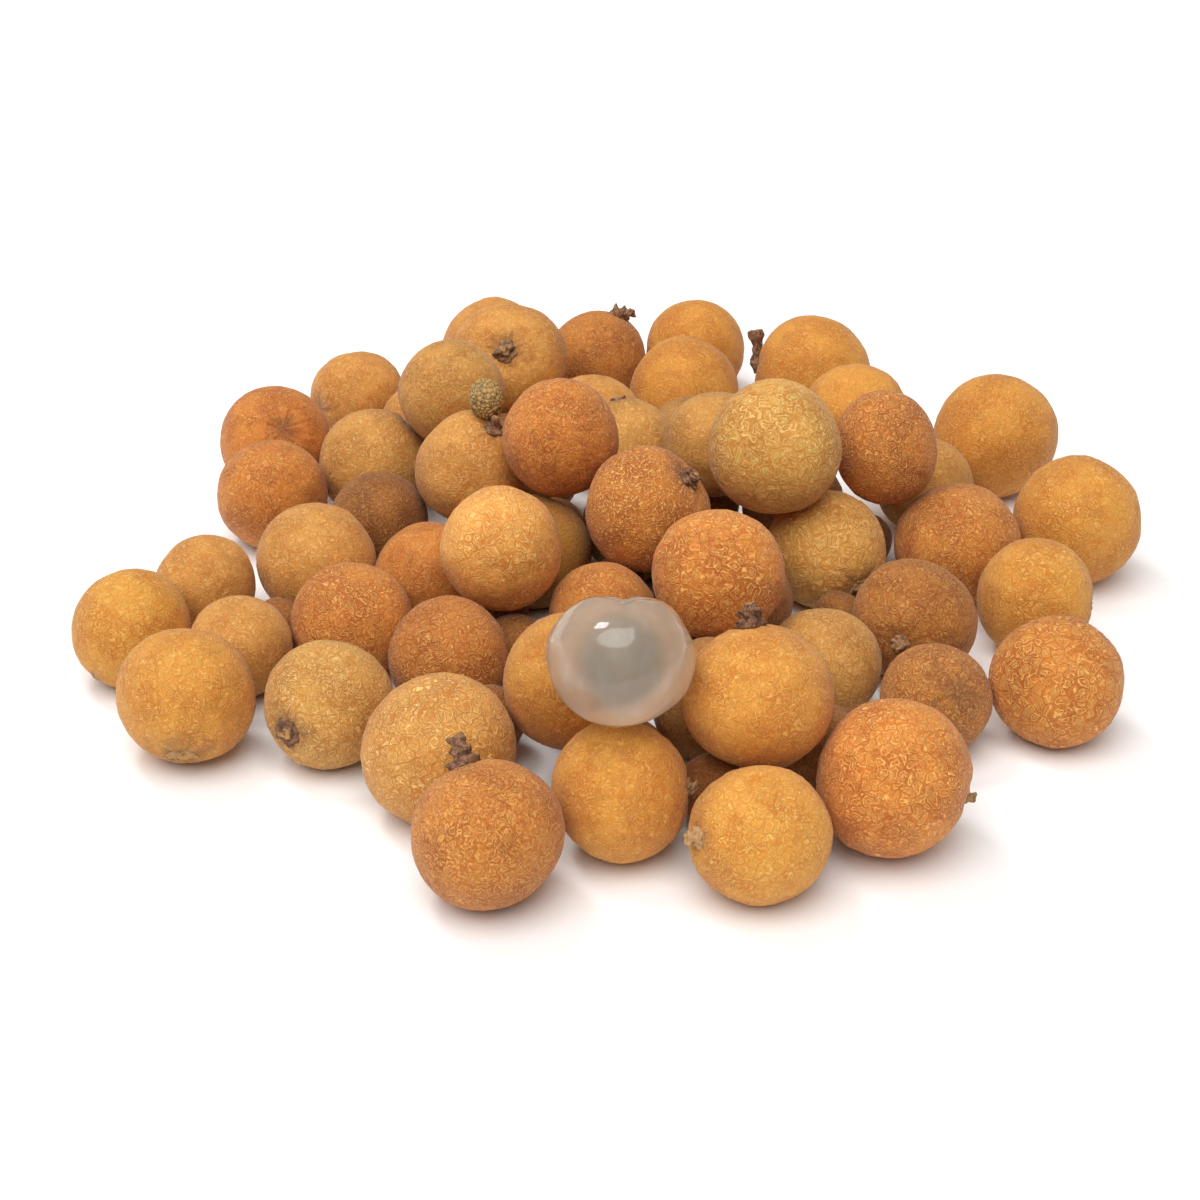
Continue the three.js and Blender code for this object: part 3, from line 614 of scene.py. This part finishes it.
def peel_material(name):
    """Netted peel. Places are in millimetres in the fruit's own frame. Bent cells have a valley
    between them with painted shade in it, a pale rim and sometimes a ring inside it, both
    broken up by noise.
    Short strokes run where another noise crosses its middle value. Broad noise mottles the
    ground, and grey specks and pale flecks are scattered."""
    ground, deep, pale = PEELS[name]
    peel = Finish(name)
    place = peel.attribute("grain", "Vector")
    tone_and_painted_light, net, rounds = peel.parts(peel.attribute("look", "Vector"))
    age, warmth, flecks = peel.parts(peel.attribute("wear", "Vector"))
    stain = peel.attribute("stain")

    # The pattern, from 0 on the ground to 1 on a pale ridge.
    drift = peel.noise(place, 0.45, 1.0, out="Color")
    bent = peel.moved(place, drift, 2.3)
    edge = peel.cells(bent, 0.58)
    breaks = peel.step(peel.noise(place, 1.1, 0.0), 0.36, 0.5)
    rims = peel.ridge(edge, 0.15, 0.015, 0.052) * (0.25 + 0.75 * breaks)
    rings = peel.ridge(edge, 0.36, 0.012, 0.05) * (0.2 + 0.8 * rounds) * breaks
    # The valleys at the cell borders: a mask for painted shade and for lower relief.
    valleys = (1 - peel.step(edge, 0.0, 0.065)) * net
    cores = peel.step(edge, 0.22, 0.4)
    worm = peel.noise(bent, 0.95, 0.8, 0.45)
    strokes = peel.ridge(worm, 0.5, 0.009, 0.048) * (1.2 - breaks)
    patches = peel.step(peel.noise(place, 0.2, 1.0), 0.35, 0.62)
    cells = rims.larger(rings) * net * (0.45 + 0.55 * patches)
    fleck_noise = peel.noise(bent, 2.1, 1.0, 0.6)
    bright_flecks = peel.step(fleck_noise, 0.55, 0.64) * (0.15 + 0.85 * flecks)
    dark_flecks = (1 - peel.step(fleck_noise, 0.33, 0.43)) * (0.2 + 0.8 * flecks)
    pattern = cells.larger(strokes * (0.3 + 0.45 * net)).larger(bright_flecks)

    # The colour, from the ground up to the tone of the whole fruit, which on some fruits is
    # painted light and on others painted shade.
    mottle = peel.step(peel.noise(place, 0.13, 3.0, 0.6), 0.38, 0.62)
    grit = peel.noise(place, 4.6, 2.0, 0.75)
    colour = peel.mix(mottle * 0.75 + (grit - 0.5) * 2.0, ground, deep)
    colour = peel.mix(cores * (0.2 + 0.5 * rounds), colour, MOSS)
    colour = peel.mix(pattern * 0.85, colour, pale)
    # The valleys between the cells are darkened towards the deep colour as painted shade in the
    # grooves.
    colour = peel.mix(valleys * 0.3 + dark_flecks * 0.5, colour, deep)
    spot = peel.cells(bent, 1.3, "F1")
    specks = (1 - peel.step(spot, 0.12, 0.34)) * (1 - patches) * age
    colour = peel.mix(specks * 0.6, colour, SPECK)
    colour = peel.mix(stain, colour, STAIN)
    yellower = peel.mix(0 - warmth, (1, 1, 1, 1), YELLOW)
    redder = peel.mix(warmth, (1, 1, 1, 1), ORANGE)
    colour = peel.mix(1.0, colour, yellower, "MULTIPLY")
    colour = peel.mix(1.0, colour, redder, "MULTIPLY")
    # The tone multiplies the whole colour: on some fruits it is painted light that lifts a fruit
    # lying in shade, on others painted shade that darkens a fruit deep in the heap.
    tone_and_light_factor = peel.node("ShaderNodeCombineXYZ", {}, {0: tone_and_painted_light, 1: tone_and_painted_light, 2: tone_and_painted_light})
    colour = peel.mix(1.0, colour, tone_and_light_factor, "MULTIPLY")

    # The fine relief, on top of that of the mesh.
    height = pattern * 0.9 + grit * 0.4 - valleys * 0.35 - dark_flecks * 0.3
    normal = peel.node(
        "ShaderNodeBump", {}, {"Strength": 1.0, "Distance": 0.00011, "Height": height}
    )
    return peel.surface(
        Base_Color=colour,
        Roughness=0.68 - pattern * 0.08 + grit * 0.1,
        Specular_IOR_Level=0.3,
        Sheen_Weight=0.12,
        Sheen_Roughness=0.5,
        Normal=normal,
    )


def wood_material():
    """Dry stalk wood: brown bark broken by paler fibres, with a straw-coloured broken tip."""
    wood = Finish("stalk_wood")
    place = wood.node("ShaderNodeTexCoord", {}, out="Object")
    tip = wood.attribute("tip")
    paleness = wood.attribute("paleness")
    bark = wood.noise(place, 900.0, 3.0, 0.65)
    flakes = wood.noise(place, 2600.0, 2.0, 0.6)
    share = wood.step(bark + (flakes - 0.5) * 0.5, 0.34, 0.68)
    colour = wood.mix(share, (0.095, 0.046, 0.026, 1), (0.32, 0.16, 0.085, 1))
    colour = wood.mix(paleness * wood.step(bark, 0.25, 0.5), colour, (0.58, 0.34, 0.15, 1))
    colour = wood.mix(tip * wood.step(bark, 0.3, 0.55), colour, (0.50, 0.28, 0.10, 1))
    normal = wood.node(
        "ShaderNodeBump", {}, {"Strength": 1.0, "Distance": 0.00022, "Height": bark + flakes * 0.6}
    )
    return wood.surface(
        Base_Color=colour, Roughness=0.85, Specular_IOR_Level=0.25, Normal=normal
    )


def fruitlet_material():
    """An undeveloped fruit: raised greenish gold pimples with dark lines between them."""
    small = Finish("fruitlet_skin")
    place = small.node("ShaderNodeTexCoord", {}, out="Object")
    groove = small.attribute("groove")
    cloud = small.noise(place, 700.0, 2.0)
    colour = small.mix(cloud, (0.37, 0.205, 0.052, 1), (0.54, 0.345, 0.125, 1))
    colour = small.mix(groove * 0.85, colour, (0.07, 0.04, 0.014, 1))
    normal = small.node(
        "ShaderNodeBump", {}, {"Strength": 0.8, "Distance": 0.0001, "Height": cloud - groove}
    )
    return small.surface(Base_Color=colour, Roughness=0.75, Normal=normal)


def flesh_material():
    """Milky, half-clear flesh: wet outside, with very faint veins, through which the seed
    shows as a soft dark shade."""
    flesh = Finish("flesh")
    place = flesh.node("ShaderNodeTexCoord", {}, out="Object")
    cloud = flesh.noise(place, 160.0, 2.0)
    drift = flesh.noise(place, 220.0, 1.0, out="Color")
    bent = flesh.moved(place, drift, 0.004)
    vein = flesh.ridge(flesh.noise(bent, 150.0, 1.0), 0.5, 0.0, 0.02)
    veined = flesh.step(flesh.noise(place, 90.0, 0.0), 0.5, 0.66)
    colour = flesh.mix(cloud, (0.97, 0.81, 0.64, 1), (0.90, 0.72, 0.53, 1))
    colour = flesh.mix(vein * veined * 0.12, colour, (0.60, 0.40, 0.22, 1))
    ripple = flesh.noise(place, 420.0, 1.0)
    drawn_out = flesh.node(
        "ShaderNodeVectorMath", {"operation": "MULTIPLY"}, {0: place, 1: FURROWS}
    )
    furrow = flesh.noise(drawn_out, 1.0, 2.0, 0.6)
    colour = flesh.mix(flesh.step(furrow, 0.48, 0.7) * 0.5, colour, (1.0, 0.92, 0.82, 1))
    height = cloud + ripple * 0.5 + furrow
    normal = flesh.node(
        "ShaderNodeBump", {}, {"Strength": 0.35, "Distance": 0.0005, "Height": height}
    )
    return flesh.surface(
        Base_Color=colour,
        Roughness=0.55,
        IOR=1.34,
        Transmission_Weight=0.78,
        Subsurface_Weight=0.6,
        Subsurface_Radius=(0.006, 0.0045, 0.0035),
        Subsurface_Scale=1.0,
        Coat_Weight=0.9,
        Coat_Roughness=0.06,
        Normal=normal,
    )


def seed_material():
    """A hard, shining, nearly black seed coat with a faint brown cloud."""
    seed = Finish("seed")
    place = seed.node("ShaderNodeTexCoord", {}, out="Object")
    cloud = seed.noise(place, 300.0, 2.0)
    colour = seed.mix(cloud, (0.012, 0.008, 0.007, 1), (0.04, 0.024, 0.018, 1))
    return seed.surface(Base_Color=colour, Roughness=0.3, Coat_Weight=0.2)


def peel_attributes(local, size, look, wear, stain, draw):
    """What the peel material reads at each point of a fruit: its place in the pattern in
    millimetres, which starts at random, and the look, the wear and the stain."""
    start = draw.uniform(-PATTERN_SPREAD, PATTERN_SPREAD, 3)
    grain = local * size / MM / (1 + COARSER * look[2]) + start
    return [
        ("grain", "FLOAT_VECTOR", grain),
        ("look", "FLOAT_VECTOR", np.tile(look, (len(local), 1))),
        ("wear", "FLOAT_VECTOR", np.tile(wear, (len(local), 1))),
        ("stain", "FLOAT", stain),
    ]


def stalk_stain(kind, local, angle, size, crease, draw):
    """Strength of the stain round the stalk. It fades with the square of the way along the
    skin, raggedly, and the creases streak it."""
    reach, strength = STAINS.get(kind, PLAIN_STAIN)
    uneven = waves(local * size, RAGGED_WAVE, SWELL_WAVES, draw)
    ragged = np.maximum(1 + RAGGED_SHARE * uneven, RAGGED_LEAST)
    streaks = STREAK_MEAN - STREAK_DEPTH * crease
    stain = strength * streaks * np.exp(-((angle * size / MM / reach) ** 2) * ragged)
    return np.clip(stain, 0, 1)


def make_peel(number, stalk, kind, fineness, look, wear, material):
    """A fruit's peel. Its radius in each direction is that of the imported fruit, plus swells,
    a net of raised lines and creases that run away from the stalk, less the dent round the
    stalk. What would come below the surface is laid flat on it. Returns the fruit as a ball,
    with its centre and mean radius, the foot of its stalk, and the random draw for what
    stands there."""
    draw = np.random.default_rng(int(number))
    axes = axes_along(stalk)
    centre, factors = peel_fit("longan_" + number, axes[2])
    rows, columns = fineness
    angle, turn = ball_angles(rows, columns)
    local = ball_directions(angle, turn)
    directions = local @ axes
    radius = low_powers(directions) @ factors
    size = radius.mean()

    radius = radius + sum(
        height * waves(local * size, length, SWELL_WAVES, draw) for length, height in SWELLS
    )
    if fineness == NEAR:
        lines = net_lines(local, size, NET_CELL, NET_LINE, draw)
        radius += NET_HEIGHT * look[1] * lines
    depth, width, crease_height = DENTS[kind]
    radius -= depth * np.exp(-((angle / width) ** 2))
    if kind == "scar":
        radius += SCAR_HEIGHT * np.exp(-((angle / SCAR_ANGLE) ** 4))
    crease = sum(
        share * np.cos(count * turn + draw.uniform(0, math.tau)) for count, share in CREASES
    )
    fade = np.exp(-(((angle - CREASE_ANGLE) / CREASE_WIDTH) ** 2))
    radius += crease_height * crease * fade * np.clip(angle / CREASE_WIDTH, 0, 1)

    points = centre + directions * radius[:, None]
    points[:, 2] = np.maximum(points[:, 2], 0)
    stain = stalk_stain(kind, local, angle, size, crease, draw)
    attributes = peel_attributes(local, size, look, wear, stain, draw)
    triangles, squares = ball_faces(rows - 1, columns)
    piece = make_piece("peel_" + number, points, triangles, squares, material, attributes)
    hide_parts("longan_" + number)
    return [*centre, size], centre + axes[2] * radius[0], draw


def free_radius(plan, balls):
    """The radius of the largest ball that lies on the surface at each place of the plan and
    clears all balls: with d the distance on the plan, z the height and r the radius of a
    ball, it is the least of (d^2 + z^2 - r^2) / (2 (z + r))."""
    centres, radii = balls[:, :3], balls[:, 3] + HOLLOW_GAP
    apart = ((plan[:, None] - centres[None, :, :2]) ** 2).sum(-1)
    height = centres[:, 2]
    return ((apart + height**2 - radii**2) / (2 * (height + radii))).min(1)


def hemmed_in(plan, balls):
    """Whether each place of the plan has fruits near it on all sides. The angles to those that
    are near are sorted, and the others stand in as copies of the first."""
    line = balls[None, :, :2] - plan[:, None]
    near = np.linalg.norm(line, axis=-1) < HOLLOW_REACH
    turn = np.arctan2(line[..., 1], line[..., 0])
    first = np.where(near, turn, math.tau).min(1, keepdims=True)
    turn = np.sort(np.where(near, turn, first), axis=1)
    round_again = np.concatenate([turn, turn[:, :1] + math.tau], axis=1)
    widest = np.diff(round_again, axis=1).max(1)
    return (near.sum(1) >= HOLLOW_NEIGHBOURS) & (widest < HOLLOW_OPENING)


def make_hollow_fruits(balls, material):
    """Undersized fruits that lie in the hollows of the bottom layer, the largest first, their
    peel darkened as painted shade.
    """
    balls = np.array(balls)
    low, high = balls[:, :2].min(0), balls[:, :2].max(0)
    grid = np.meshgrid(*[np.arange(low[i], high[i], HOLLOW_STEP) for i in (0, 1)])
    plan = np.stack([side.ravel() for side in grid], 1)
    plan = plan[hemmed_in(plan, balls)]
    draw = np.random.default_rng(HOLLOW_DRAW)
    rows, columns = HOLLOW
    number = 0
    while True:
        free = np.minimum(free_radius(plan, balls), HOLLOW_LARGEST)
        best = free.argmax()
        if free[best] < HOLLOW_SMALLEST:
            break
        number += 1
        radius = free[best]
        centre = np.array([*plan[best], radius])
        balls = np.vstack([balls, [*centre, radius]])
        local = ball_directions(*ball_angles(rows, columns))
        lumps = HOLLOW_LUMP_DEPTH * waves(local * radius, HOLLOW_LUMP_WAVE, SWELL_WAVES, draw)
        points = centre + local * (radius - np.abs(lumps))[:, None]
        stain = np.zeros(len(points))
        attributes = peel_attributes(local, radius, HOLLOW_LOOK, HOLLOW_WEAR, stain, draw)
        name = f"hollow_longan_{number:02d}"
        piece = make_piece(name, points, *ball_faces(rows - 1, columns), material, attributes)


def turned(profile, rows):
    """Rows of radius and height along a profile, at equal steps of its length."""
    profile = np.array(profile, float)
    steps = np.linalg.norm(np.diff(profile, axis=0), axis=1)
    length = np.concatenate([[0], np.cumsum(steps)])
    at = np.linspace(0, length[-1], rows)
    return np.interp(at, length, profile[:, 0]), np.interp(at, length, profile[:, 1])


def make_stalk(number, end, foot, draw, way, material):
    """A broken stalk end: a profile turned round the stalk. Its bark is uneven, its collar
    is ragged, it leans a little, and its tip is paler."""
    kind, scale, paleness = end
    radius, height = turned(STALK_PROFILES[kind], STALK_ROWS)
    top = height.max()
    turn = np.linspace(0, math.tau, STALK_COLUMNS, endpoint=False)
    squash = STALK_SQUASH.get(kind, (1, 1))
    rise = np.broadcast_to(height[1:-1, None], (STALK_ROWS - 2, STALK_COLUMNS))
    ring = radius[1:-1, None] * np.ones(STALK_COLUMNS)
    place_on = np.stack([np.cos(turn) * ring, np.sin(turn) * ring, rise], -1).reshape(-1, 3)
    widened = 0
    lifted = 0
    for length, count, widens, lifts in STALK_BUMPS:
        bumps = waves(place_on, length, count, draw).reshape(ring.shape)
        widened = widened + widens * bumps
        lifted = lifted + lifts * bumps
    outside = np.clip(rise + BUMPS_START, 0, 1)
    ring = ring * (1 + outside * widened)
    rise = rise + outside * lifted
    lean = draw.uniform(-LEAN, LEAN, 2) * (top / LEAN_HEIGHT)
    bend = np.clip(rise / top, 0, 1) ** 2
    body = np.stack(
        [
            np.cos(turn) * ring * squash[0] + lean[0] * bend,
            np.sin(turn) * ring * squash[1] + lean[1] * bend,
            rise,
        ],
        -1,
    ).reshape(-1, 3)
    tip_place = [lean[0], lean[1], height[-1]]
    local = np.concatenate([[[0, 0, height[0]]], body, [tip_place]]) * MM * scale
    points = foot + local @ axes_along(way)
    tip_start = TIP_STARTS.get(kind, PLAIN_TIP_START)
    tip_row = np.clip((np.arange(STALK_ROWS) / STALK_ROWS - tip_start) / TIP_BLEND, 0, 1)
    tip = np.concatenate([[0], np.repeat(tip_row[1:-1], STALK_COLUMNS), [1]])
    triangles, squares = turned_over(ball_faces(STALK_ROWS - 2, STALK_COLUMNS))
    attributes = [("tip", "FLOAT", tip), ("paleness", "FLOAT", np.full(len(tip), paleness))]
    make_piece("stalk_" + number, points, triangles, squares, material, attributes)


def make_fruitlet(number, foot, draw, skin):
    """An undeveloped oval fruit on the neck beside the stalk, pimpled all over."""
    rows, columns = FRUITLET
    angle, turn = ball_angles(rows, columns)
    local = ball_directions(angle, turn)
    half = np.array([FRUITLET_ACROSS, FRUITLET_ACROSS, FRUITLET_TALL]) / 2
    groove = net_lines(local, half.mean(), PIMPLE_CELL, PIMPLE_LINE, draw)
    body = local * half * (1 - PIMPLE_HEIGHT * groove)[:, None]
    middle = foot + unit(FRUITLET_WAY) * (FRUITLET_NECK + FRUITLET_TALL / 2)
    points = middle + body @ axes_along(FRUITLET_WAY)
    attributes = [("groove", "FLOAT", groove)]
    make_piece("fruitlet_" + number, points, *ball_faces(rows - 1, columns), skin, attributes)


def seed_ball():
    """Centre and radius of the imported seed."""
    points = packed_points("peeled_seed")
    centre = (points.min(0) + points.max(0)) / 2
    return centre, np.linalg.norm(points - centre, axis=1).mean()


def flesh_reach(angle, local, directions, notch, factors, size):
    """How far the outside of the flesh is from its centre in each direction: that of the
    packed flesh, less the notch and the groove through it, plus swells and a blister. The
    notch and the ends of the groove fade with the square of the angle from the notch."""
    draw = np.random.default_rng(FLESH_DRAW)
    reach = low_powers(directions) @ factors
    reach -= NOTCH_DEPTH * np.exp(-((angle / NOTCH_ANGLE) ** 2))
    aside = (directions[:, 0] - notch[0]) / GROOVE_WIDTH
    reach -= GROOVE_DEPTH * np.exp(-(aside**2) - (angle / GROOVE_LENGTH) ** 2)
    swells = waves(local * size, FLESH_SWELL_WAVE, FLESH_SWELL_WAVES, draw)
    reach += FLESH_SWELL_HEIGHT * swells
    from_blister = np.arccos(np.clip(directions @ unit(BLISTER_WAY), -1, 1))
    return reach + BLISTER_HEIGHT * np.exp(-((from_blister / BLISTER_ANGLE) ** 4))


def make_flesh(seed_centre, seed_radius, material):
    """The flesh of the peeled fruit. One profile is carried round the notch's axis: up the
    outside to the notch, down the mouth, and round the nest that the seed fills."""
    axes = axes_along(NOTCH_WAY)
    notch = axes[2]
    points = packed_points("peeled_flesh")
    distance = np.linalg.norm(points - seed_centre, axis=1)
    far = points[distance > OUTSIDE_FROM_SEED * seed_radius]
    clear = unit(far - seed_centre) @ notch < math.cos(OUTSIDE_FROM_NOTCH * NOTCH_ANGLE)
    centre, factors = surface_fit(far[clear])
    size = np.linalg.norm(far[clear] - centre, axis=1).mean()

    turn = np.linspace(0, math.tau, FLESH_COLUMNS, endpoint=False)
    rows = np.linspace(math.pi, MOUTH_ANGLE, FLESH_ROWS + 1)[1:]
    angle = np.repeat(rows, FLESH_COLUMNS)
    local = ball_directions(angle, np.tile(turn, FLESH_ROWS))
    directions = local @ axes
    reach = flesh_reach(angle, local, directions, notch, factors, size)
    outside = centre + directions * reach[:, None]
    nest_rows = np.linspace(NEST_MOUTH_ANGLE, math.pi, NEST_ROWS + 1)[:-1]
    nest_angle = np.repeat(nest_rows, FLESH_COLUMNS)
    nest_radius = NEST_SHARE * seed_radius
    nest = ball_directions(nest_angle, np.tile(turn, NEST_ROWS)) @ axes
    inside = seed_centre + nest * nest_radius
    bottom = centre - notch * (low_powers(-notch[None]) @ factors)
    nest_bottom = seed_centre - notch * nest_radius
    skin = np.concatenate([[bottom], outside, inside, [nest_bottom]])
    triangles, squares = turned_over(ball_faces(FLESH_ROWS + NEST_ROWS, FLESH_COLUMNS))
    flesh = make_piece("flesh", skin, triangles, squares, material)
    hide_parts("peeled_flesh")


def make_seed(centre, radius, material):
    """The seed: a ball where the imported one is."""
    rows, columns = SEED
    directions = ball_directions(*ball_angles(rows, columns)) @ axes_along(NOTCH_WAY)
    triangles, squares = ball_faces(rows - 1, columns)
    seed = make_piece("seed", centre + directions * radius, triangles, squares, material)
    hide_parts("peeled_seed")


def make_floor():
    """A wide pale floor just below the fruits."""
    finish = Finish("pale_floor")
    material = finish.surface(
        Base_Color=(0.93, 0.925, 0.92, 1), Roughness=0.7, Specular_IOR_Level=0.2
    )
    mesh = bpy.data.meshes.new("floor")
    quarters = [(-1, -1), (1, -1), (1, 1), (-1, 1)]
    corners = [(x * FLOOR_HALF, y * FLOOR_HALF, 0) for x, y in quarters]
    mesh.from_pydata(corners, [], [(0, 1, 2, 3)])
    mesh.materials.append(material)
    floor = bpy.data.objects.new("floor", mesh)
    floor.location.z = -FLOOR_DROP
    bpy.context.scene.collection.objects.link(floor)


def make_light(name, kind, place, power, **settings):
    """A light at a place that points at the origin."""
    lamp = bpy.data.lights.new(name, kind)
    lamp.energy = power
    for setting, value in settings.items():
        setattr(lamp, setting, value)
    light = bpy.data.objects.new(name, lamp)
    light.location = place
    light.rotation_euler = (-Vector(place)).to_track_quat("-Z", "Y").to_euler()
    bpy.context.scene.collection.objects.link(light)


def make_studio():
    """White surroundings, a wide soft light above, a small one that gives the wet flesh its
    highlights, and the camera that looks down at the front of the heap."""
    world = bpy.data.worlds.new("surroundings")
    world.use_nodes = True
    background = world.node_tree.nodes["Background"]
    background.inputs["Color"].default_value = (1.0, 0.99, 0.98, 1)
    background.inputs["Strength"].default_value = 0.3
    bpy.context.scene.world = world
    make_light("overhead", "SUN", OVERHEAD_PLACE, 2.85, angle=math.radians(OVERHEAD_SPREAD))
    make_light("window", "AREA", WINDOW_PLACE, 2.0, shape="SQUARE", size=WINDOW_WIDTH)
    camera_data = bpy.data.cameras.new("camera")
    camera_data.lens = CAMERA_LENS
    camera_data.sensor_width = CAMERA_FRAME
    camera = bpy.data.objects.new("camera", camera_data)
    camera.location = CAMERA_PLACE
    camera.rotation_euler = (math.radians(CAMERA_TURN), 0, 0)
    bpy.context.scene.collection.objects.link(camera)
    bpy.context.scene.camera = camera
    bpy.context.scene.view_settings.view_transform = "Standard"


def build():
    """Every piece of the part: the peels with their stalk ends, the fruits in the hollows
    between them, and the peeled fruit."""
    slots = {part["node"]: part["material_slot"] for part in frame["record"]["subparts"]}
    peels = {name: peel_material(name) for name in PEELS}
    wood = wood_material()
    balls = []
    for number, stalk, end, fineness, look, wear in FRUITS:
        kind = end[0]
        slot = slots["longan_" + number]
        peel = peels[slot]
        ball, foot, draw = make_peel(number, stalk, kind, fineness, look, wear, peel)
        balls.append(ball)
        if kind in STALK_PROFILES:
            make_stalk(number, end, foot, draw, STALK_WAYS.get(number, stalk), wood)
        if kind == "fruitlet":
            make_fruitlet(number, foot, draw, fruitlet_material())
    make_hollow_fruits(balls, peels["peel_russet"])
    seed_centre, seed_radius = seed_ball()
    make_flesh(seed_centre, seed_radius, flesh_material())
    make_seed(seed_centre, seed_radius, seed_material())


build()
make_floor()
make_studio()
